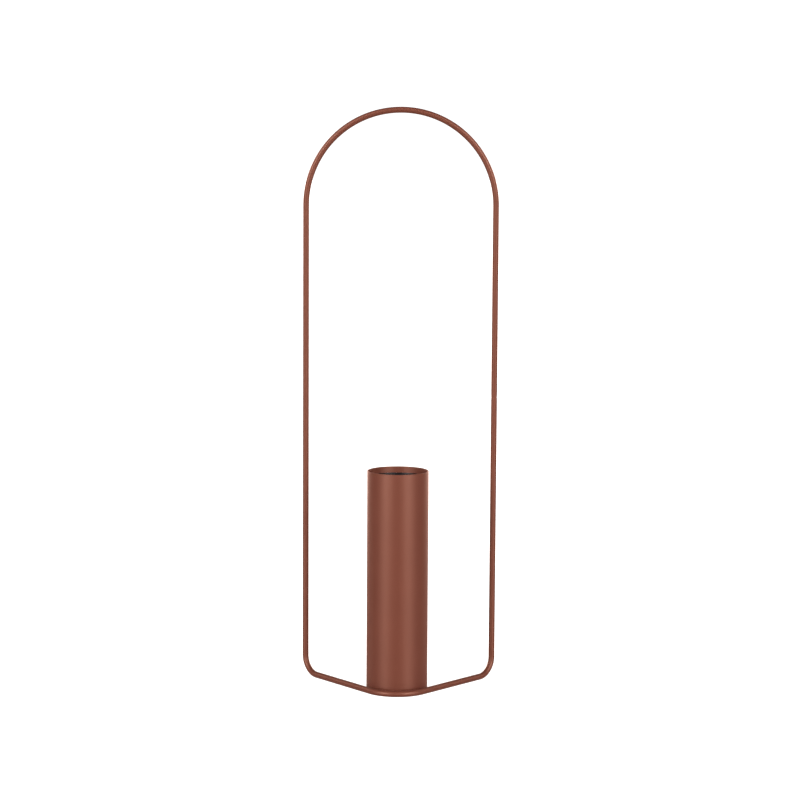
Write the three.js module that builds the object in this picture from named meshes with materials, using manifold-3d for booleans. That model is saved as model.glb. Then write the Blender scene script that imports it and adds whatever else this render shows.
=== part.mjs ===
// A tall floor vase. One 8 mm steel rod is bent into a round-topped hoop whose foot runs forward along
// the floor as a V, and a slim steel tube stands inside the bow at the point of that V. The tube takes a
// removable watertight liner. Millimetres, +Z up, the front is -Y, and the origin is on the floor in the
// middle of the footprint.
import * as THREE from "three";
import { mergeVertices } from "three/addons/utils/BufferGeometryUtils.js";
import Module from "manifold-3d";

const wasm = await Module();
wasm.setup();

// Frame rod
const FRAME_HEIGHT = 760;
const FRAME_WIDTH = 258;
const FRAME_DEPTH = 130;
const ROD_DIAMETER = 8;
const CORNER_RADIUS = 24; // of the rod's centreline, where an upright turns into a leg
const SEAM_HEIGHT = 378; // middle of the butt weld that closes the rod, on the right-hand upright
const SEAM_GAP = 2.4; // between the rod's two ends
const SEAM_UNDERCUT = 0.1; // the weld is ground this far below the rod's surface

// Vase tube and its welded-in base
const TUBE_DIAMETER = 80;
const TUBE_WALL = 1.5;
const TUBE_TOP = 290;
const TUBE_CLEARANCE = 0.5; // the tube's cut edge stands this far off the floor
const LIP_RADIUS = 0.5; // of the deburred edges at the mouth and the foot
const BASE_THICKNESS = 2;

// Bumpers stuck under the base
const BUMPER_DIAMETER = 10;
const BUMPER_HEIGHT = 2.6;
const BUMPER_COUNT = 3;
const BUMPER_INSET = 11; // from the tube's inner wall to a bumper's centre
const BUMPER_EDGE = 0.6; // of the rounded edge at a bumper's foot

// Weld beads
const BOW_WELD_COUNT = 3;
const BOW_WELD_PITCH = 34; // degrees between neighbouring beads round the bow
const BOW_WELD_SPAN = 20; // degrees that one bead runs round the tube
const BASE_WELD_COUNT = 4;
const BASE_WELD_SPAN = 22;
const BASE_WELD_LEG = 1.8; // the bead's reach along the base and along the tube

// Liner
const LINER_RECESS = 8; // of its rim below the tube's mouth
const LINER_CLEARANCE = 0.6; // between its rim and the tube's inner wall
const LINER_WALL = 1.6;
const LINER_FLOOR = 2;
const LINER_TAPER = 2.4; // by which its outer radius shrinks from rim to foot
const LINER_RIM_HEIGHT = 5;
const LINER_RIM_STEP = 0.9; // by which the rim stands proud of the wall below it
const LINER_FOOT_HEIGHT = 1.2;
const LINER_FOOT_WIDTH = 3;

// Air between faces that would touch if they were not faceted
const FIT = 0.3;

// Smoothness
const ROD_SIDES = 20;
const TUBE_SEGMENTS = 72;
const SMALL_SEGMENTS = 32;
const ARCH_STEPS = 44;
const BOW_STEPS = 20;
const CORNER_STEPS = 9;
const EDGE_STEPS = 3; // of a small rounded edge

// Places that follow from the sizes
const rodRadius = ROD_DIAMETER / 2;
const tubeRadius = TUBE_DIAMETER / 2;
const boreRadius = tubeRadius - TUBE_WALL;
const uprightX = FRAME_WIDTH / 2 - rodRadius;
const uprightY = FRAME_DEPTH / 2 - rodRadius;
const springHeight = FRAME_HEIGHT - FRAME_WIDTH / 2; // where the uprights end and the arch begins
const bowRadius = tubeRadius + FIT + rodRadius;
const tubeY = -FRAME_DEPTH / 2 + rodRadius + bowRadius; // the tube and the bow share this axis
const baseTop = BUMPER_HEIGHT + BASE_THICKNESS;

const coat = new THREE.MeshStandardMaterial({ color: 0x8a4f3f, roughness: 0.55, metalness: 0.1 });
const plastic = new THREE.MeshStandardMaterial({ color: 0x18181a, roughness: 0.35, metalness: 0 });
const clearPad = new THREE.MeshStandardMaterial({ color: 0xb9b8b2, roughness: 0.3, metalness: 0 });

const up = new THREE.Vector3(0, 0, 1);

// A straight run of rod between two points.
function straight(from, to) {
  const along = to.clone().sub(from).normalize();
  return { steps: 1, at: (s) => from.clone().lerp(to, s), facing: () => along.clone() };
}

// A bend about `centre`. It starts at `radius` from it in the direction `outward`, facing `heading`,
// and turns through `angle` in `steps` chords.
function bend(centre, outward, heading, radius, angle, steps) {
  const point = (s) => {
    const a = s * angle;
    return centre
      .clone()
      .addScaledVector(outward, radius * Math.cos(a))
      .addScaledVector(heading, radius * Math.sin(a));
  };
  const facing = (s) => {
    const a = s * angle;
    return heading
      .clone()
      .multiplyScalar(Math.cos(a))
      .addScaledVector(outward, -Math.sin(a));
  };
  return { steps, at: point, facing };
}

// The rod's centreline. Its parameter counts the chords, so that they crowd into the bends and a
// straight run is one long chord.
class RodLine extends THREE.Curve {
  constructor(runs) {
    super();
    this.runs = runs;
    this.steps = runs.reduce((sum, run) => sum + run.steps, 0);
  }
  place(t) {
    let left = t * this.steps;
    for (const run of this.runs) {
      if (left <= run.steps) return [run, left / run.steps];
      left -= run.steps;
    }
    return [this.runs.at(-1), 1];
  }
  getPoint(t) {
    const [run, s] = this.place(t);
    return run.at(s);
  }
  getTangent(t) {
    const [run, s] = this.place(t);
    return run.facing(s);
  }
  getPointAt(t) {
    return this.getPoint(t);
  }
  getTangentAt(t) {
    return this.getTangent(t);
  }
  getSpacedPoints(count) {
    return this.getPoints(count);
  }
}

// The leg that runs forward along the floor from the foot of one upright to the bow. `side` is 1 on the
// right and -1 on the left.
function legLine(side) {
  const across = uprightX;
  const back = uprightY - tubeY;
  const reach = Math.hypot(across, back);
  const angle = Math.atan2(back, across) + Math.asin(bowRadius / reach);
  const heading = new THREE.Vector3(-side * Math.cos(angle), -Math.sin(angle), 0);
  const corner = new THREE.Vector3(side * uprightX, uprightY, rodRadius);
  const length = Math.sqrt(reach ** 2 - bowRadius ** 2);
  return {
    angle,
    heading,
    start: corner.clone().addScaledVector(heading, CORNER_RADIUS),
    end: corner.clone().addScaledVector(heading, length),
  };
}

// The whole rod, from the top of the closing weld, over the arch, down the left side, round the bow and
// back up to the underside of that weld.
function rodLine() {
  const leftLeg = legLine(-1);
  const rightLeg = legLine(1);
  const foot = rodRadius + CORNER_RADIUS;
  const at = (side, z) => new THREE.Vector3(side * uprightX, uprightY, z);
  const cornerCentre = (side, leg) => at(side, foot).addScaledVector(leg.heading, CORNER_RADIUS);
  const backward = (leg) => leg.heading.clone().negate();
  const right = new THREE.Vector3(1, 0, 0);
  const down = new THREE.Vector3(0, 0, -1);
  const archCentre = new THREE.Vector3(0, uprightY, springHeight);
  const bowCentre = new THREE.Vector3(0, tubeY, rodRadius);
  const bowStart = leftLeg.end.clone().sub(bowCentre).normalize();
  return new RodLine([
    straight(at(1, SEAM_HEIGHT + SEAM_GAP / 2), at(1, springHeight)),
    bend(archCentre, right, up, uprightX, Math.PI, ARCH_STEPS),
    straight(at(-1, springHeight), at(-1, foot)),
    bend(cornerCentre(-1, leftLeg), backward(leftLeg), down, CORNER_RADIUS, Math.PI / 2, CORNER_STEPS),
    straight(leftLeg.start, leftLeg.end),
    bend(bowCentre, bowStart, leftLeg.heading, bowRadius, 2 * leftLeg.angle, BOW_STEPS),
    straight(rightLeg.end, rightLeg.start),
    bend(cornerCentre(1, rightLeg), down, backward(rightLeg), CORNER_RADIUS, Math.PI / 2, CORNER_STEPS),
    straight(at(1, foot), at(1, SEAM_HEIGHT - SEAM_GAP / 2)),
  ]);
}

function frameRod() {
  const section = new THREE.Shape().absarc(0, 0, rodRadius, 0, 2 * Math.PI, false);
  const line = rodLine();
  return new THREE.ExtrudeGeometry(section, {
    extrudePath: line,
    steps: line.steps,
    curveSegments: ROD_SIDES / 2,
    bevelEnabled: false,
  });
}

// A solid turned about Z from a list of [radius, height].
function turned(profile, segments) {
  const points = profile.map(([r, z]) => new THREE.Vector2(r, z));
  return new THREE.LatheGeometry(points, segments).rotateX(Math.PI / 2);
}

// A quarter-round edge in a profile, from angle `from` to `to` in degrees about its own centre.
function round(r, z, radius, from, to) {
  return Array.from({ length: EDGE_STEPS + 1 }, (_, i) => {
    const a = THREE.MathUtils.degToRad(from + ((to - from) * i) / EDGE_STEPS);
    return [r + radius * Math.cos(a), z + radius * Math.sin(a)];
  });
}

function vaseTube() {
  const lip = Math.min(LIP_RADIUS, TUBE_WALL / 3);
  const outer = tubeRadius - lip;
  const inner = boreRadius + lip;
  const low = TUBE_CLEARANCE + lip;
  const high = TUBE_TOP - lip;
  const ring = [
    ...round(outer, low, lip, -90, 0),
    ...round(outer, high, lip, 0, 90),
    ...round(inner, high, lip, 90, 180),
    ...round(inner, low, lip, 180, 270),
  ];
  return turned([...ring, ring[0]], TUBE_SEGMENTS);
}

function baseDisc() {
  const edge = boreRadius - FIT;
  const profile = [
    [0, BUMPER_HEIGHT],
    [edge, BUMPER_HEIGHT],
    [edge, baseTop],
    [0, baseTop],
  ];
  return turned(profile, TUBE_SEGMENTS);
}

function bumper() {
  const radius = BUMPER_DIAMETER / 2;
  const profile = [
    [0, 0],
    ...round(radius - BUMPER_EDGE, BUMPER_EDGE, BUMPER_EDGE, -90, 0),
    [radius, BUMPER_HEIGHT],
    [0, BUMPER_HEIGHT],
  ];
  return turned(profile, SMALL_SEGMENTS);
}

function liner() {
  const foot = baseTop;
  const top = TUBE_TOP - LINER_RECESS;
  const rim = boreRadius - LINER_CLEARANCE;
  const wallTop = rim - LINER_RIM_STEP;
  const wallFoot = wallTop - LINER_TAPER;
  const edge = LINER_WALL / 2;
  const floor = foot + LINER_FOOT_HEIGHT + LINER_FLOOR;
  return turned(
    [
      [0, foot + LINER_FOOT_HEIGHT],
      [wallFoot - LINER_FOOT_WIDTH, foot + LINER_FOOT_HEIGHT],
      [wallFoot - LINER_FOOT_WIDTH, foot],
      ...round(wallFoot - edge, foot + edge, edge, -90, 0, 3),
      [wallTop, top - LINER_RIM_HEIGHT],
      [rim, top - LINER_RIM_HEIGHT],
      ...round(rim - edge, top - edge, edge, 0, 90, 3),
      ...round(wallTop - LINER_WALL + edge, top - edge, edge, 90, 180, 3),
      ...round(wallFoot - 2 * LINER_WALL, floor + LINER_WALL, LINER_WALL, 0, -90, 3),
      [0, floor],
    ],
    TUBE_SEGMENTS,
  );
}

// The closing weld: a slug of weld metal between the rod's two flat ends.
function seamWeld() {
  const radius = rodRadius - SEAM_UNDERCUT;
  return new THREE.CylinderGeometry(radius, radius, SEAM_GAP, SMALL_SEGMENTS).rotateX(Math.PI / 2);
}

// A geometry as a manifold-3d solid, and back.
function solid(geometry) {
  const bare = geometry.clone();
  bare.deleteAttribute("normal");
  bare.deleteAttribute("uv");
  const merged = mergeVertices(bare, 1e-4);
  return new wasm.Manifold(
    new wasm.Mesh({
      numProp: 3,
      vertProperties: merged.attributes.position.array,
      triVerts: new Uint32Array(merged.index.array),
    }),
  );
}
function geometryOf(manifold) {
  const mesh = manifold.getMesh();
  return new THREE.BufferGeometry()
    .setAttribute("position", new THREE.BufferAttribute(new Float32Array(mesh.vertProperties), 3))
    .setIndex(new THREE.BufferAttribute(new Uint32Array(mesh.triVerts), 1));
}

// A bead that follows a circle about Z: a turned ring, cut to `span` degrees about `middle`.
function bead(profile, middle, span) {
  const reach = 2 * tubeRadius + ROD_DIAMETER;
  const half = THREE.MathUtils.degToRad(span / 2);
  const start = THREE.MathUtils.degToRad(middle);
  const wedge = new THREE.Shape()
    .moveTo(0, 0)
    .lineTo(reach * Math.cos(start - half), reach * Math.sin(start - half))
    .lineTo(reach * Math.cos(start + half), reach * Math.sin(start + half))
    .closePath();
  const height = rodRadius + baseTop;
  const sector = new THREE.ExtrudeGeometry(wedge, { depth: height, bevelEnabled: false });
  return geometryOf(solid(turned([...profile, profile[0]], TUBE_SEGMENTS)).intersect(solid(sector)));
}

// Section of a bead in the crease under the bow, between the tube's wall and the rod.
function bowWeldProfile() {
  const wall = tubeRadius + FIT;
  const foot = TUBE_CLEARANCE;
  const reach = rodRadius + FIT;
  const rodSide = (z) => bowRadius - Math.sqrt(reach ** 2 - (rodRadius - z) ** 2);
  const tip = rodRadius / 2;
  return [
    [wall, foot],
    [rodSide(foot), foot],
    [rodSide((foot + tip) / 2), (foot + tip) / 2],
    [rodSide(tip), tip],
    [wall, tip],
  ];
}

// Section of a tack in the corner under the base, against the tube's inner wall.
function baseWeldProfile() {
  const wall = boreRadius - FIT;
  const top = BUMPER_HEIGHT;
  return [
    [wall - BASE_WELD_LEG, top],
    [wall - BASE_WELD_LEG / 3, top - BASE_WELD_LEG / 3],
    [wall, top - BASE_WELD_LEG],
    [wall, top],
  ];
}

const vase = new THREE.Group();
function add(name, geometry, material, x = 0, y = 0, z = 0) {
  const mesh = new THREE.Mesh(geometry, material);
  mesh.name = name;
  mesh.position.set(x, y, z);
  vase.add(mesh);
  return mesh;
}

add("frame_rod", frameRod(), coat);
add("frame_seam_weld", seamWeld(), coat, uprightX, uprightY, SEAM_HEIGHT);
add("vase_tube", vaseTube(), coat, 0, tubeY);
add("base_disc", baseDisc(), coat, 0, tubeY);
add("liner", liner(), plastic, 0, tubeY);

for (let i = 0; i < BUMPER_COUNT; i++) {
  const a = -Math.PI / 2 + (i * 2 * Math.PI) / BUMPER_COUNT;
  const r = boreRadius - BUMPER_INSET;
  add(`bumper_${i + 1}`, bumper(), clearPad, r * Math.cos(a), tubeY + r * Math.sin(a));
}

for (let i = 0; i < BOW_WELD_COUNT; i++) {
  const middle = -90 + (i - (BOW_WELD_COUNT - 1) / 2) * BOW_WELD_PITCH;
  add(`bow_weld_${i + 1}`, bead(bowWeldProfile(), middle, BOW_WELD_SPAN), coat, 0, tubeY);
}

for (let i = 0; i < BASE_WELD_COUNT; i++) {
  const middle = 45 + (i * 360) / BASE_WELD_COUNT;
  add(`base_weld_${i + 1}`, bead(baseWeldProfile(), middle, BASE_WELD_SPAN), coat, 0, tubeY);
}

export default vase;
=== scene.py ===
import math

import bmesh
import bpy
from mathutils import Matrix, Vector


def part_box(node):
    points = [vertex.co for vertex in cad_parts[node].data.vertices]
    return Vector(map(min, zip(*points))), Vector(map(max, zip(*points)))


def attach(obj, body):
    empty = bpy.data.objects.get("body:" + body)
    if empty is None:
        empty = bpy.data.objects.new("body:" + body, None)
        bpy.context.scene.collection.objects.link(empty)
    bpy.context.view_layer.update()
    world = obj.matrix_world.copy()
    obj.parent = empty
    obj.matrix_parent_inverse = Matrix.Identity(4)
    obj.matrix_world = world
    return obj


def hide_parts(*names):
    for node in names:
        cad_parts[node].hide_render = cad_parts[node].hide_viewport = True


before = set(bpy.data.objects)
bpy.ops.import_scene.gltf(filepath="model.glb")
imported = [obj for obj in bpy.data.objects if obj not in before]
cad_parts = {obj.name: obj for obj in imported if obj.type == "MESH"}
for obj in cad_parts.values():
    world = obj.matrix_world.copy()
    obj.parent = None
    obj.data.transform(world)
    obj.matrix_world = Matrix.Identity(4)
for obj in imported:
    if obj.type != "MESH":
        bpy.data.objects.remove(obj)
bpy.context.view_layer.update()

scene = bpy.context.scene

# The rod.
# One 8 mm steel rod, bent cold into the hoop, a tight bend at each foot, two legs that run forward as a V
# and the bow that hugs the tube. Its ends meet on the right. All that is welded is powder coated as one.
ROD_RADIUS = 0.004
CORNER_RADIUS = 0.024
SEAM_DIP = 0.0001
SEAM_SHOULDER = 0.005
SEAM_FINE_LENGTH = 1.5 * SEAM_SHOULDER
SEAM_STEPS = 12
ROD_SIDES = 40
BEND_STEP = math.radians(1.5)
CORNER_STEP = 2 * BEND_STEP
SHARP_ANGLE = math.radians(38)
UP = Vector((0, 0, 1))

seam_low, seam_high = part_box("frame_seam_weld")
rod_low, rod_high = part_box("frame_rod")
tube_low, tube_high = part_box("vase_tube")
seam_centre = (seam_low + seam_high) / 2
tube_axis = Vector(((tube_low.x + tube_high.x) / 2, (tube_low.y + tube_high.y) / 2, 0))
tube_radius = (tube_high.x - tube_low.x) / 2
bow_radius = tube_axis.y - rod_low.y - ROD_RADIUS


def node(tree, kind, inputs=(), **settings):
    """A new node in a tree. An input is a plain value or the output that feeds it."""
    made = tree.nodes.new(kind)
    for name, value in settings.items():
        setattr(made, name, value)
    for socket, value in dict(inputs).items():
        if isinstance(value, bpy.types.NodeSocket):
            tree.links.new(value, made.inputs[socket])
        else:
            made.inputs[socket].default_value = value
    return made


def maths(tree, operation, *values):
    """The result of one arithmetic node."""
    inputs = dict(enumerate(values))
    return node(tree, "ShaderNodeMath", inputs, operation=operation).outputs[0]


def shape_tree(name, **sizes):
    """An empty geometry tree, the outputs of its input node, and a function that closes it."""
    tree = bpy.data.node_groups.new(name, "GeometryNodeTree")
    tree.interface.new_socket("Geometry", in_out="INPUT", socket_type="NodeSocketGeometry")
    tree.interface.new_socket("Geometry", in_out="OUTPUT", socket_type="NodeSocketGeometry")
    for label, kind in {**sizes, "Finish": "Material"}.items():
        tree.interface.new_socket(label, in_out="INPUT", socket_type="NodeSocket" + kind)
    entry = node(tree, "NodeGroupInput").outputs

    def close(geometry):
        real = node(tree, "GeometryNodeRealizeInstances", {"Geometry": geometry}).outputs[0]
        smooth = node(tree, "GeometryNodeSetShadeSmooth", {"Geometry": real}).outputs[0]
        finish = {"Geometry": smooth, "Material": entry["Finish"]}
        finished = node(tree, "GeometryNodeSetMaterial", finish).outputs[0]
        node(tree, "NodeGroupOutput", {"Geometry": finished})
        return tree

    return tree, entry, close


def grown(name, start, tree, **sizes):
    """The object that a geometry tree grows from a start mesh, as a plain mesh."""
    piece = bpy.data.objects.new(name, start)
    scene.collection.objects.link(piece)
    grower = piece.modifiers.new("grower", "NODES")
    grower.node_group = tree
    for socket in tree.interface.items_tree:
        if socket.in_out == "INPUT" and socket.name in sizes:
            grower[socket.identifier] = sizes[socket.name]
    seen = bpy.context.evaluated_depsgraph_get()
    made = bpy.data.meshes.new_from_object(piece.evaluated_get(seen), depsgraph=seen)
    piece.modifiers.clear()
    piece.data = made
    made.set_sharp_from_angle(angle=SHARP_ANGLE)
    return piece


def line_mesh(name, points):
    """A chain of edges through points, for a tree to turn into a curve."""
    mesh = bpy.data.meshes.new(name)
    mesh.from_pydata(points, [(i, i + 1) for i in range(len(points) - 1)], [])
    return mesh


def arc(centre, outward, heading, radius, angle, step=BEND_STEP):
    """Points along a bend that starts at radius from its centre towards outward, facing heading."""
    count = max(2, round(angle / step))
    turns = [angle * i / count for i in range(count + 1)]
    return [centre + radius * (math.cos(a) * outward + math.sin(a) * heading) for a in turns]


def leg(side):
    """The angle of a leg to X, its heading and the foot of its upright. side is 1 right, -1 left."""
    back = seam_centre.y - tube_axis.y
    reach = math.hypot(seam_centre.x, back)
    angle = math.atan2(back, seam_centre.x) + math.asin(bow_radius / reach)
    heading = Vector((-side * math.cos(angle), -math.sin(angle), 0))
    return angle, heading, Vector((side * seam_centre.x, seam_centre.y, ROD_RADIUS))


def rod_line():
    """The rod's centreline from the top of the seam, over the arch and round to its underside."""
    angle, left_heading, left_corner = leg(-1)
    _, right_heading, right_corner = leg(1)
    spring = rod_high.z - ROD_RADIUS - seam_centre.x
    arch_centre = Vector((0, seam_centre.y, spring))
    lift = UP * CORNER_RADIUS
    left_centre = left_corner + left_heading * CORNER_RADIUS + lift
    right_centre = right_corner + right_heading * CORNER_RADIUS + lift
    bow_centre = tube_axis + UP * ROD_RADIUS
    bow_start = Vector((-math.sin(angle), -math.cos(angle), 0))
    quarter = math.pi / 2
    steps = [SEAM_FINE_LENGTH * i / SEAM_STEPS for i in range(SEAM_STEPS)]
    above = [Vector((seam_centre.x, seam_centre.y, seam_high.z + s)) for s in steps]
    below = [Vector((seam_centre.x, seam_centre.y, seam_low.z - s)) for s in reversed(steps)]
    return [
        *above,
        *arc(arch_centre, Vector((1, 0, 0)), UP, seam_centre.x, math.pi),
        *arc(left_centre, -left_heading, -UP, CORNER_RADIUS, quarter, CORNER_STEP),
        *arc(bow_centre, bow_start, left_heading, bow_radius, 2 * angle),
        *arc(right_centre, -UP, -right_heading, CORNER_RADIUS, quarter, CORNER_STEP),
        *below,
    ]


def rod_tree():
    """A round rod along a line, drawn in a little at its two ends, where the seam was ground."""
    sizes = {"Radius": "Float", "Sides": "Int", "Dip": "Float", "Shoulder": "Float"}
    tree, entry, close = shape_tree("rod", **sizes)
    line = node(tree, "GeometryNodeMeshToCurve", {"Mesh": entry["Geometry"]}).outputs[0]
    along = node(tree, "GeometryNodeSplineParameter").outputs["Length"]
    whole = node(tree, "GeometryNodeSplineLength").outputs["Length"]
    to_end = maths(tree, "MINIMUM", along, maths(tree, "SUBTRACT", whole, along))
    drawn = maths(tree, "SUBTRACT", 1.0, maths(tree, "DIVIDE", entry["Dip"], entry["Radius"]))
    near_end = {"Value": to_end, "From Max": entry["Shoulder"], "To Min": drawn}
    thick = node(tree, "ShaderNodeMapRange", near_end, interpolation_type="SMOOTHSTEP").outputs[0]
    ring = {"Resolution": entry["Sides"], "Radius": entry["Radius"]}
    section = node(tree, "GeometryNodeCurvePrimitiveCircle", ring).outputs[0]
    swept = {"Curve": line, "Profile Curve": section, "Scale": thick, "Fill Caps": True}
    return close(node(tree, "GeometryNodeCurveToMesh", swept).outputs[0])


# The coat on every steel piece is a matte terracotta powder, baked on. It has a very fine grain, a soft
# ripple a few millimetres wide where it flowed out, and slow drifts in tone where it lies thicker.
COAT_DEEP = (0.0542, 0.0149, 0.0090, 1)
COAT_WARM = (0.0716, 0.0204, 0.0127, 1)
COAT_ROUGHNESS = (0.35, 0.45)
COAT_GLOSS = 0.5
COAT_GLOSS_TINT = (0.90, 0.50, 0.375, 1)
COAT_IOR = 1.45
GRAIN_SIZE = 0.00045
RIPPLE_SIZE = 0.0032
DRIFT_SIZE = 0.045
GRAIN_IN_TONE = 0.5
DRIFT_IN_TONE = 0.5
GRAIN_IN_RELIEF = 0.35
RELIEF_DEPTH = 0.0001
RELIEF_STRENGTH = 0.35


def blank_material(name):
    """A new material with its tree, its Object coordinates and its shader's sockets."""
    material = bpy.data.materials.new(name)
    material.use_nodes = True
    tree = material.node_tree
    place = node(tree, "ShaderNodeTexCoord").outputs["Object"]
    return material, tree, place, tree.nodes["Principled BSDF"].inputs


def cloud(tree, place, size, detail=2.0, roughness=0.55):
    """Noise whose blobs are about size metres wide."""
    inputs = {"Vector": place, "Scale": 1 / size, "Detail": detail, "Roughness": roughness}
    return node(tree, "ShaderNodeTexNoise", inputs).outputs["Fac"]


def mix(tree, share, first, second):
    """A blend of two colours, the first at share 0 and the second at 1. They go into sockets 6 and 7."""
    inputs = {0: share, 6: first, 7: second}
    return node(tree, "ShaderNodeMix", inputs, data_type="RGBA").outputs[2]


def spread(tree, value, low, high, start=0.0, stop=1.0):
    """A value that runs from low to high while another runs from start to stop."""
    inputs = {"Value": value, "From Min": start, "From Max": stop, "To Min": low, "To Max": high}
    return node(tree, "ShaderNodeMapRange", inputs).outputs[0]


def bump(tree, height, depth, strength=1.0):
    """The normal of a surface with a relief that is depth metres deep."""
    inputs = {"Height": height, "Distance": depth, "Strength": strength}
    return node(tree, "ShaderNodeBump", inputs).outputs["Normal"]


def powder_coat():
    """Terracotta powder: its grain in tone, gloss and relief, its ripple in relief, its drift in tone."""
    material, tree, place, shader = blank_material("terracotta_powder")
    grain = cloud(tree, place, GRAIN_SIZE)
    ripple = cloud(tree, place, RIPPLE_SIZE, detail=1.0)
    drift = cloud(tree, place, DRIFT_SIZE, detail=3.0)
    grain_tone = maths(tree, "MULTIPLY", grain, GRAIN_IN_TONE)
    drift_tone = maths(tree, "MULTIPLY", drift, DRIFT_IN_TONE)
    tone = maths(tree, "ADD", grain_tone, drift_tone)
    relief = maths(tree, "ADD", maths(tree, "MULTIPLY", grain, GRAIN_IN_RELIEF), ripple)
    tree.links.new(mix(tree, tone, COAT_DEEP, COAT_WARM), shader["Base Color"])
    tree.links.new(spread(tree, grain, *COAT_ROUGHNESS), shader["Roughness"])
    tree.links.new(bump(tree, relief, RELIEF_DEPTH, RELIEF_STRENGTH), shader["Normal"])
    shader["Specular IOR Level"].default_value = COAT_GLOSS
    shader["Specular Tint"].default_value = COAT_GLOSS_TINT
    shader["IOR"].default_value = COAT_IOR
    return material


def fitted(piece, body, slot, *nodes):
    """Makes a finished piece part of the object, in place of its plain nodes."""
    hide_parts(*nodes)
    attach(piece, body)


coat = powder_coat()
rod_sizes = {"Radius": ROD_RADIUS, "Sides": ROD_SIDES, "Dip": SEAM_DIP, "Shoulder": SEAM_SHOULDER}
rod = grown("bent_rod", line_mesh("rod_line", rod_line()), rod_tree(), Finish=coat, **rod_sizes)
fitted(rod, "vase", "powder_coat", "frame_rod")

# The seam.
# A butt weld closes the rod at about half its height on the right. It is ground nearly flush, a little
# hollow, and a little more on the outer side, where the wheel ran off, and it is painted over.
SEAM_WAIST = 0.00012
SEAM_NICK = 0.0003
NICK_FOCUS = 4
SEAM_RINGS = 10
ON_AXIS = 1e-7


def turned(name, profile, segments, axis, finish):
    """A surface turned about a vertical axis from [radius, height] points. A profile starts and ends on
    the axis, or closes on itself."""
    shape = bmesh.new()
    rings = []
    for radius, height in profile:
        if radius < ON_AXIS:
            rings.append([shape.verts.new(axis + UP * height)] * segments)
            continue
        turns = [2 * math.pi * i / segments for i in range(segments)]
        spots = [Vector((radius * math.cos(a), radius * math.sin(a), height)) for a in turns]
        rings.append([shape.verts.new(axis + spot) for spot in spots])
    if profile[0][0] > ON_AXIS:
        rings.append(rings[0])
    for ring, above in zip(rings, rings[1:]):
        for i in range(segments):
            k = (i + 1) % segments
            corners = dict.fromkeys([ring[i], ring[k], above[k], above[i]])
            shape.faces.new(list(corners))
    bmesh.ops.recalc_face_normals(shape, faces=shape.faces)
    mesh = bpy.data.meshes.new(name)
    shape.to_mesh(mesh)
    shape.free()
    mesh.materials.append(finish)
    mesh.shade_smooth()
    mesh.set_sharp_from_angle(angle=SHARP_ANGLE)
    piece = bpy.data.objects.new(name, mesh)
    scene.collection.objects.link(piece)
    return piece


def seam_profile():
    """The seam's outline from its lower end to its upper, narrowest half way."""
    edge = ROD_RADIUS - SEAM_DIP
    heights = [seam_low.z + (seam_high.z - seam_low.z) * i / SEAM_RINGS for i in range(SEAM_RINGS + 1)]
    hollow = [math.sin(math.pi * i / SEAM_RINGS) ** 2 for i in range(SEAM_RINGS + 1)]
    side = [[edge - SEAM_WAIST * h, z] for z, h in zip(heights, hollow)]
    return [[0, seam_low.z], *side, [0, seam_high.z]]


def nick(mesh):
    """Grinds the seam's outer side away a little more, deepest half way up."""
    for vertex in mesh.vertices:
        place = vertex.co - seam_centre
        rise = abs(place.z) / (seam_high.z - seam_centre.z)
        outward = max(0.0, place.x / ROD_RADIUS) ** NICK_FOCUS
        vertex.co.x -= SEAM_NICK * outward * max(0.0, 1 - rise**2)


seam_axis = Vector((seam_centre.x, seam_centre.y, 0))
seam = turned("ground_seam", seam_profile(), ROD_SIDES, seam_axis, coat)
nick(seam.data)
fitted(seam, "vase", "powder_coat", "frame_seam_weld")

# The tube.
# An 80 mm steel tube, sawn square and deburred, so that both cut edges are rounded over under the coat.
# It stands half a millimetre off the floor inside the bow.
TUBE_WALL = 0.0015
LIP_RADIUS = 0.0006
ROUND_STEPS = 6
SMALL_ROUND_STEPS = 3
TURN_SEGMENTS = 192


def rounded(centre_radius, centre_height, radius, start, stop, steps=ROUND_STEPS):
    """Profile points of a rounded edge, from angle start to stop in degrees about its own centre."""
    turns = [math.radians(start + (stop - start) * i / steps) for i in range(steps + 1)]
    return [[centre_radius + radius * math.cos(a), centre_height + radius * math.sin(a)] for a in turns]


def tube_profile():
    """The tube's wall in section, with all four edges rounded over."""
    outer = tube_radius - LIP_RADIUS
    inner = tube_radius - TUBE_WALL + LIP_RADIUS
    low = tube_low.z + LIP_RADIUS
    high = tube_high.z - LIP_RADIUS
    return [
        *rounded(outer, low, LIP_RADIUS, -90, 0),
        *rounded(outer, high, LIP_RADIUS, 0, 90),
        *rounded(inner, high, LIP_RADIUS, 90, 180),
        *rounded(inner, low, LIP_RADIUS, 180, 270),
    ]


tube = turned("steel_tube", tube_profile(), TURN_SEGMENTS, tube_axis, coat)
fitted(tube, "vase", "powder_coat", "vase_tube")

# The base.
# A 2 mm steel disc closes the tube just above the floor. It is laser cut, with its edges broken, and
# slips in with a little air round it.
BASE_EDGE = 0.0003

base_low, base_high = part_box("base_disc")
base_radius = (base_high.x - base_low.x) / 2


def base_profile():
    """The disc in section, from the middle of its underside to the middle of its top."""
    rim = base_radius - BASE_EDGE
    return [
        [0, base_low.z],
        *rounded(rim, base_low.z + BASE_EDGE, BASE_EDGE, -90, 0, SMALL_ROUND_STEPS),
        *rounded(rim, base_high.z - BASE_EDGE, BASE_EDGE, 0, 90, SMALL_ROUND_STEPS),
        [0, base_high.z],
    ]


base = turned("base_plate", base_profile(), TURN_SEGMENTS, tube_axis, coat)
fitted(base, "vase", "powder_coat", "base_disc")

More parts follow.
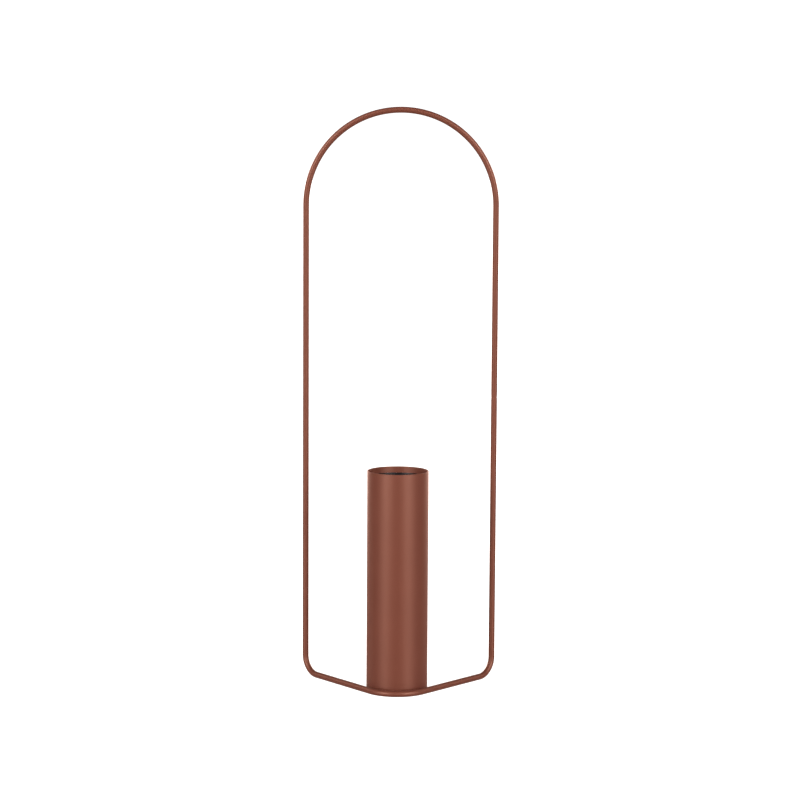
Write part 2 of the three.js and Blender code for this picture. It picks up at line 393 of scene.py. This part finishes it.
# The tacks under the base.
# Four short weld beads in the corner between the base's underside and the tube's inner wall. Each is a
# row of small overlapping puddles, and thins out at its two ends.
TACK_COUNT = 4
TACK_FIRST = math.radians(45)
TACK_SPAN = math.radians(20)
TACK_RADIUS = 0.0010
TACK_INSET = 0.0008
PUDDLE_PITCH = 0.0013
PUDDLE_DEPTH = 0.16
BEAD_TAPER = 8.0
BEAD_END = 0.02
BEAD_STEPS = 90
BEAD_SIDES = 14


def copies_round_axis(tree, entry, geometry):
    """Nodes that set copies of a piece, modelled on +X from the axis, at equal turns round it."""
    points = node(tree, "GeometryNodePoints", {"Count": entry["Copies"], "Position": entry["Axis"]})
    index = node(tree, "GeometryNodeInputIndex").outputs[0]
    turn = maths(tree, "MULTIPLY_ADD", index, entry["Turn"], entry["First turn"])
    rotation = node(tree, "ShaderNodeCombineXYZ", {"Z": turn}).outputs[0]
    placed = {"Points": points.outputs[0], "Instance": geometry, "Rotation": rotation}
    return node(tree, "GeometryNodeInstanceOnPoints", placed).outputs[0]


def bead_tree():
    """A weld bead along a line, copied round the tube's axis. Each puddle is one beat of a sine, and the
    thickness falls off over the last part of the line at both ends."""
    sizes = {
        "Radius": "Float",
        "Puddle pitch": "Float",
        "Puddle depth": "Float",
        "Copies": "Int",
        "First turn": "Float",
        "Turn": "Float",
        "Axis": "Vector",
    }
    tree, entry, close = shape_tree("weld_beads", **sizes)
    line = node(tree, "GeometryNodeMeshToCurve", {"Mesh": entry["Geometry"]}).outputs[0]
    spline = node(tree, "GeometryNodeSplineParameter").outputs
    puddles = maths(tree, "DIVIDE", spline["Length"], entry["Puddle pitch"])
    beat = maths(tree, "MULTIPLY", puddles, math.pi)
    puddle = maths(tree, "ABSOLUTE", maths(tree, "SINE", beat))
    dip = maths(tree, "MULTIPLY", maths(tree, "SUBTRACT", 1.0, puddle), entry["Puddle depth"])
    middle = maths(tree, "MULTIPLY_ADD", spline["Factor"], 2.0, -1.0)
    fall = maths(tree, "POWER", maths(tree, "ABSOLUTE", middle), BEAD_TAPER)
    taper = maths(tree, "SQRT", maths(tree, "SUBTRACT", 1.0 + BEAD_END, fall))
    thick = maths(tree, "MULTIPLY", taper, maths(tree, "SUBTRACT", 1.0, dip))
    ring = {"Resolution": BEAD_SIDES, "Radius": entry["Radius"]}
    section = node(tree, "GeometryNodeCurvePrimitiveCircle", ring).outputs[0]
    swept = {"Curve": line, "Profile Curve": section, "Scale": thick, "Fill Caps": True}
    bead = node(tree, "GeometryNodeCurveToMesh", swept).outputs[0]
    return close(copies_round_axis(tree, entry, bead))


def bead_line(name, radius, height, span):
    """The line of one bead, an arc about the tube's axis that is centred on +X."""
    start = Vector((math.cos(span / 2), -math.sin(span / 2), 0))
    heading = Vector((math.sin(span / 2), math.cos(span / 2), 0))
    return line_mesh(name, arc(UP * height, start, heading, radius, span, span / BEAD_STEPS))


def weld_beads(name, line, radius, count, first_turn, turn):
    """Coated beads of one radius along count copies of a line, each a turn further round the tube."""
    sizes = {
        "Radius": radius,
        "Puddle pitch": PUDDLE_PITCH,
        "Puddle depth": PUDDLE_DEPTH,
        "Copies": count,
        "First turn": first_turn,
        "Turn": turn,
        "Axis": tube_axis,
    }
    return grown(name, line, beads, Finish=coat, **sizes)


beads = bead_tree()
tack_path_radius = tube_radius - TUBE_WALL - TACK_INSET
tack_height = base_low.z - TACK_INSET
tack_turn = 2 * math.pi / TACK_COUNT
tack_line = bead_line("tack_line", tack_path_radius, tack_height, TACK_SPAN)
tacks = weld_beads("base_tacks", tack_line, TACK_RADIUS, TACK_COUNT, TACK_FIRST, tack_turn)
fitted(tacks, "vase", "powder_coat", *[f"base_weld_{i + 1}" for i in range(TACK_COUNT)])

# The welds of the bow.
# Three longer beads in the crease under the bow hold it to the tube's foot. They sit below the rod's
# middle, so from the front only the dark line between the rod and the tube shows.
BOW_WELD_COUNT = 3
BOW_WELD_TURN = math.radians(34)
BOW_WELD_SPAN = math.radians(18)
BOW_WELD_RADIUS = 0.00095
BOW_WELD_OFFSET = 0.0010
BOW_WELD_HEIGHT = 0.00125

bow_weld_path_radius = tube_radius + BOW_WELD_OFFSET
bow_weld_first = -math.pi / 2 - BOW_WELD_TURN * (BOW_WELD_COUNT - 1) / 2
bow_weld_line = bead_line("bow_weld_line", bow_weld_path_radius, BOW_WELD_HEIGHT, BOW_WELD_SPAN)
bow_welds = weld_beads(
    "bow_welds", bow_weld_line, BOW_WELD_RADIUS, BOW_WELD_COUNT, bow_weld_first, BOW_WELD_TURN
)
fitted(bow_welds, "vase", "powder_coat", *[f"bow_weld_{i + 1}" for i in range(BOW_WELD_COUNT)])

# The bumpers.
# Three small self-adhesive pads of clear soft plastic under the base, moulded as flat-topped domes on a
# thin skirt. Their feet lie level with the underside of the rod.
BUMPER_COUNT = 3
BUMPER_SKIRT = 0.0004
BUMPER_SKIRT_STEPS = 4
BUMPER_EDGE = 0.0009
BUMPER_EDGE_TURNS = (-75, -15)
BUMPER_EDGE_STEPS = 5
BUMPER_SEGMENTS = 48
PAD_DEEP = (0.60, 0.60, 0.57, 1)
PAD_PALE = (0.70, 0.70, 0.68, 1)
PAD_HAZE_SIZE = 0.0006
PAD_HAZE_DEPTH = 0.00003
PAD_ROUGHNESS = (0.28, 0.42)
PAD_CLEARNESS = 0.35
PAD_IOR = 1.43

bumper_low, bumper_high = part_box("bumper_1")
bumper_centre = (bumper_low + bumper_high) / 2
bumper_radius = (bumper_high.x - bumper_low.x) / 2
bumper_reach = (bumper_centre - tube_axis).to_2d().length


def bumper_profile():
    """One bumper, standing on its foot, turned about its own axis."""
    foot = bumper_radius - 2 * BUMPER_EDGE
    waist = bumper_radius - BUMPER_SKIRT
    skirt = bumper_high.z - BUMPER_SKIRT
    lip = BUMPER_SKIRT / 2
    return [
        [0, 0],
        [foot, 0],
        *rounded(foot, BUMPER_EDGE, BUMPER_EDGE, *BUMPER_EDGE_TURNS, BUMPER_EDGE_STEPS),
        [waist, skirt],
        *rounded(bumper_radius - lip, skirt + lip, lip, -90, 90, BUMPER_SKIRT_STEPS),
        [0, bumper_high.z],
    ]


def bumper_tree():
    """Copies of one bumper, set round the tube's axis."""
    sizes = {"Copies": "Int", "First turn": "Float", "Turn": "Float", "Axis": "Vector"}
    tree, entry, close = shape_tree("bumpers", **sizes)
    return close(copies_round_axis(tree, entry, entry["Geometry"]))


def soft_pad():
    """Milky clear soft plastic with a fine moulded haze."""
    material, tree, place, shader = blank_material("clear_pad")
    haze = cloud(tree, place, PAD_HAZE_SIZE, detail=3.0)
    tree.links.new(mix(tree, haze, PAD_DEEP, PAD_PALE), shader["Base Color"])
    tree.links.new(spread(tree, haze, *PAD_ROUGHNESS), shader["Roughness"])
    tree.links.new(bump(tree, haze, PAD_HAZE_DEPTH), shader["Normal"])
    shader["Transmission Weight"].default_value = PAD_CLEARNESS
    shader["IOR"].default_value = PAD_IOR
    return material


pad = soft_pad()
bumper_axis = Vector((bumper_reach, 0, 0))
bumper_start = turned("bumper_start", bumper_profile(), BUMPER_SEGMENTS, bumper_axis, pad)
bumper_sizes = {
    "Copies": BUMPER_COUNT,
    "First turn": -math.pi / 2,
    "Turn": 2 * math.pi / BUMPER_COUNT,
    "Axis": tube_axis,
}
bumpers = grown("bumpers", bumper_start.data, bumper_tree(), Finish=pad, **bumper_sizes)
bpy.data.objects.remove(bumper_start)
fitted(bumpers, "vase", "bumper_rubber", *[f"bumper_{i + 1}" for i in range(BUMPER_COUNT)])

# The liner.
# A loose watertight cup, injection moulded in black plastic. Its wall is drafted so that it leaves the
# mould, its rim is a stiffening bead, it stands on a foot ring, and the gate left a small nub underneath.
LINER_WALL = 0.0016
LINER_TAPER = 0.0024
LINER_RIM_HEIGHT = 0.005
LINER_RIM_STEP = 0.0009
LINER_FLOOR = 0.002
LINER_FOOT_HEIGHT = 0.0012
LINER_FOOT_WIDTH = 0.003
GATE_RADIUS = 0.0021
GATE_HEIGHT = 0.0006
LINER_ROUND = 0.0003
LINER_DEEP = (0.006, 0.006, 0.0065, 1)
LINER_SCUFF = (0.0095, 0.0095, 0.010, 1)
LINER_GLOSS = 0.16
LINER_ROUGHNESS = (0.20, 0.32)
LINER_RELIEF = 0.00004
SKIN_SIZE = 0.0011
SKIN_IN_RELIEF = 0.4
DRAW_SIZE = 0.0009
DRAW_STRETCH = 0.03
SCUFF_SIZE = 0.016
SCUFF_RANGE = (0.50, 0.85)
SCUFF_DULLING = 0.06

liner_low, liner_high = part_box("liner")
liner_rim = (liner_high.x - liner_low.x) / 2


def small_round(centre_radius, centre_height, start, stop):
    """One of the liner's small rounded edges, from angle start to stop in degrees."""
    return rounded(centre_radius, centre_height, LINER_ROUND, start, stop, SMALL_ROUND_STEPS)


def liner_profile():
    """The cup in section, from the gate's nub under it, round the rim and back to its inner floor."""
    foot = liner_low.z
    top = liner_high.z
    under = foot + LINER_FOOT_HEIGHT
    inside = under + LINER_FLOOR
    wall_top = liner_rim - LINER_RIM_STEP
    wall_foot = wall_top - LINER_TAPER
    edge = LINER_WALL / 2
    ledge = top - LINER_RIM_HEIGHT
    inner = wall_foot - LINER_FOOT_WIDTH
    return [
        [0, under - GATE_HEIGHT],
        *small_round(GATE_RADIUS - LINER_ROUND, under - GATE_HEIGHT + LINER_ROUND, -90, 0),
        *small_round(GATE_RADIUS + LINER_ROUND, under - LINER_ROUND, 180, 90),
        *small_round(inner - LINER_ROUND, under - LINER_ROUND, 90, 0),
        *small_round(inner + LINER_ROUND, foot + LINER_ROUND, 180, 270),
        *rounded(wall_foot - edge, foot + edge, edge, -90, 0),
        *small_round(wall_top + LINER_ROUND, ledge - LINER_ROUND, 180, 90),
        *small_round(liner_rim - LINER_ROUND, ledge + LINER_ROUND, -90, 0),
        *rounded(liner_rim - edge, top - edge, edge, 0, 90),
        *rounded(wall_top - LINER_WALL + edge, top - edge, edge, 90, 180),
        *rounded(wall_foot - 2 * LINER_WALL, inside + LINER_WALL, LINER_WALL, 0, -90),
        [0, inside],
    ]


def black_plastic():
    """Satin moulded plastic, with a fine skin, a faint upright draw and slight scuffs from handling."""
    material, tree, place, shader = blank_material("black_plastic")
    skin = cloud(tree, place, SKIN_SIZE)
    upright = {"Vector": place, "Scale": (1, 1, DRAW_STRETCH)}
    stretched = node(tree, "ShaderNodeMapping", upright).outputs[0]
    draw = cloud(tree, stretched, DRAW_SIZE, detail=3.0)
    scuff = cloud(tree, place, SCUFF_SIZE, detail=5.0, roughness=0.6)
    worn = spread(tree, scuff, 0.0, 1.0, *SCUFF_RANGE)
    tree.links.new(mix(tree, worn, LINER_DEEP, LINER_SCUFF), shader["Base Color"])
    satin = spread(tree, draw, *LINER_ROUGHNESS)
    dulled = maths(tree, "ADD", satin, maths(tree, "MULTIPLY", worn, SCUFF_DULLING))
    tree.links.new(dulled, shader["Roughness"])
    relief = maths(tree, "ADD", maths(tree, "MULTIPLY", skin, SKIN_IN_RELIEF), draw)
    tree.links.new(bump(tree, relief, LINER_RELIEF), shader["Normal"])
    shader["Specular IOR Level"].default_value = LINER_GLOSS
    return material


liner = turned("moulded_liner", liner_profile(), TURN_SEGMENTS, tube_axis, black_plastic())
fitted(liner, "liner", "liner_plastic", "liner")

# The floor.
# A plain pale light table, as for product photographs. It glows softly from within, so the shadows on it
# are faint, and it fills the view from any side. It is kept out of the coat's gloss, as in the photo.
FLOOR_REACH = 30.0
FLOOR_CORNERS = ((-1, -1), (1, -1), (1, 1), (-1, 1))
FLOOR_GLOW = 0.84
FLOOR_LIGHT = (0.47, 0.47, 0.465, 1)
FLOOR_SHADE = (0.44, 0.44, 0.435, 1)
FLOOR_ROUGHNESS = (0.75, 0.9)
FLOOR_PATCH_SIZE = 0.6


def floor_paint():
    """Pale paint with wide faint patches and an even glow."""
    material, tree, place, shader = blank_material("pale_floor")
    patch = cloud(tree, place, FLOOR_PATCH_SIZE, detail=4.0)
    tree.links.new(mix(tree, patch, FLOOR_LIGHT, FLOOR_SHADE), shader["Base Color"])
    tree.links.new(spread(tree, patch, *FLOOR_ROUGHNESS), shader["Roughness"])
    shader["Emission Color"].default_value = (1, 1, 1, 1)
    shader["Emission Strength"].default_value = FLOOR_GLOW
    return material


floor_mesh = bpy.data.meshes.new("floor")
floor_spots = [(x * FLOOR_REACH, y * FLOOR_REACH, 0) for x, y in FLOOR_CORNERS]
floor_mesh.from_pydata(floor_spots, [], [(0, 1, 2, 3)])
floor_mesh.materials.append(floor_paint())
floor = bpy.data.objects.new("floor", floor_mesh)
scene.collection.objects.link(floor)
floor.visible_glossy = False

# The studio light.
# A ring of soft light round the vase, with no lamps: a bright box and a low reflector to each side in
# front, and weaker light from the sides, above and behind. The camera itself sees a white backdrop.
BACKDROP = (1.2, 1.2, 1.2, 1.0)
PLAIN = (1.0, 1.0, 1.0)
WARM = (1.0, 0.66, 0.54)

# Each light has turns in degrees from straight ahead and heights, where 0 is level and 1 overhead, then a
# glow and a tint. It fades in from the first turn or height to the second, and out from the third on.
GLOWS = {
    "box": ((16, 39, 46, 61), (0.05, 0.20, 0.26, 0.80), 28.5, PLAIN),
    "reflector": ((17, 40, 50, 74), (-0.62, -0.32, -0.16, 0.0), 4.8, PLAIN),
    "side": ((60, 80, 100, 130), (0.10, 0.34, 0.50, 0.70), 0.9, PLAIN),
    "side_reflector": ((80, 120, 130, 150), (-1.2, -1.1, -0.15, 0.05), 0.6, WARM),
    "back_box": ((100, 122, 140, 160), (0.05, 0.20, 0.26, 0.60), 6.0, WARM),
    "overhead": ((-2, -1, 190, 200), (0.60, 0.80, 1.10, 1.20), 0.3, PLAIN),
    "rim": ((125, 150, 156, 180), (-0.15, 0.04, 0.06, 0.35), 11.5, WARM),
    "back_reflector": ((150, 180, 190, 200), (-1.2, -1.1, -0.15, 0.05), 2.0, WARM),
}


def fade(tree, value, start, full, last, end):
    """1 where a value lies between full and last, fading to 0 at start and at end."""
    rise = spread(tree, value, 0.0, 1.0, start, full)
    return maths(tree, "MINIMUM", rise, spread(tree, value, 1.0, 0.0, last, end))


def surround():
    """A world that gives the sum of the lights, the same to the left and right of the vase."""
    world = bpy.data.worlds.new("surround")
    world.use_nodes = True
    tree = world.node_tree
    direction = node(tree, "ShaderNodeTexCoord").outputs["Generated"]
    parts = node(tree, "ShaderNodeSeparateXYZ", {"Vector": direction}).outputs
    sideways = maths(tree, "ABSOLUTE", parts["X"])
    ahead = maths(tree, "MULTIPLY", parts["Y"], -1.0)
    turn = maths(tree, "MULTIPLY", maths(tree, "ARCTAN2", sideways, ahead), math.degrees(1))
    glow = (0.0, 0.0, 0.0)
    for turns, heights, strength, tint in GLOWS.values():
        patch = maths(tree, "MULTIPLY", fade(tree, turn, *turns), fade(tree, parts["Z"], *heights))
        bright = maths(tree, "MULTIPLY", patch, strength)
        level = node(tree, "ShaderNodeCombineXYZ", {"X": bright, "Y": bright, "Z": bright}).outputs[0]
        added = {0: level, 1: tint, 2: glow}
        glow = node(tree, "ShaderNodeVectorMath", added, operation="MULTIPLY_ADD").outputs["Vector"]
    seen = node(tree, "ShaderNodeLightPath").outputs["Is Camera Ray"]
    tree.links.new(mix(tree, seen, glow, BACKDROP), tree.nodes["Background"].inputs["Color"])
    tree.nodes["Background"].inputs["Strength"].default_value = 1.0
    return world


scene.world = surround()
scene.view_settings.view_transform = "Standard"

# The camera.
# A long lens about three metres away, a little above the vase and a degree to its side, as in the
# photograph. Its pose is given by its distance, turn, tilt and roll about a point on the hoop's axis.
CAMERA_DISTANCE = 3.13
CAMERA_TURN = math.radians(-1.43)
CAMERA_TILT = math.radians(6.61)
CAMERA_ROLL = math.radians(0.332)
CAMERA_SHIFT = Vector((-0.00014, 0.00666))
CAMERA_PIXELS_PER_METRE = 753.0
PHOTO_PIXELS = 800
AIM_HEIGHT = 0.38
SENSOR_WIDTH = 36.0


def photo_camera():
    """A camera from which the vase's edges fall where the photograph has them."""
    across = Vector((math.cos(CAMERA_TURN), -math.sin(CAMERA_TURN), 0))
    level = Vector((math.sin(CAMERA_TURN), math.cos(CAMERA_TURN), 0))
    forward = math.cos(CAMERA_TILT) * level - math.sin(CAMERA_TILT) * UP
    upward = math.sin(CAMERA_TILT) * level + math.cos(CAMERA_TILT) * UP
    aim = Vector((0, seam_centre.y, AIM_HEIGHT))
    place = aim - CAMERA_SHIFT.x * across - CAMERA_SHIFT.y * upward - CAMERA_DISTANCE * forward
    right = math.cos(CAMERA_ROLL) * across + math.sin(CAMERA_ROLL) * upward
    top = math.cos(CAMERA_ROLL) * upward - math.sin(CAMERA_ROLL) * across
    lens = bpy.data.cameras.new("camera")
    lens.sensor_width = SENSOR_WIDTH
    lens.lens = CAMERA_PIXELS_PER_METRE * CAMERA_DISTANCE * SENSOR_WIDTH / PHOTO_PIXELS
    camera = bpy.data.objects.new("camera", lens)
    turn = Matrix((right, top, -forward)).transposed().to_4x4()
    camera.matrix_world = Matrix.Translation(place) @ turn
    scene.collection.objects.link(camera)
    scene.camera = camera


photo_camera()
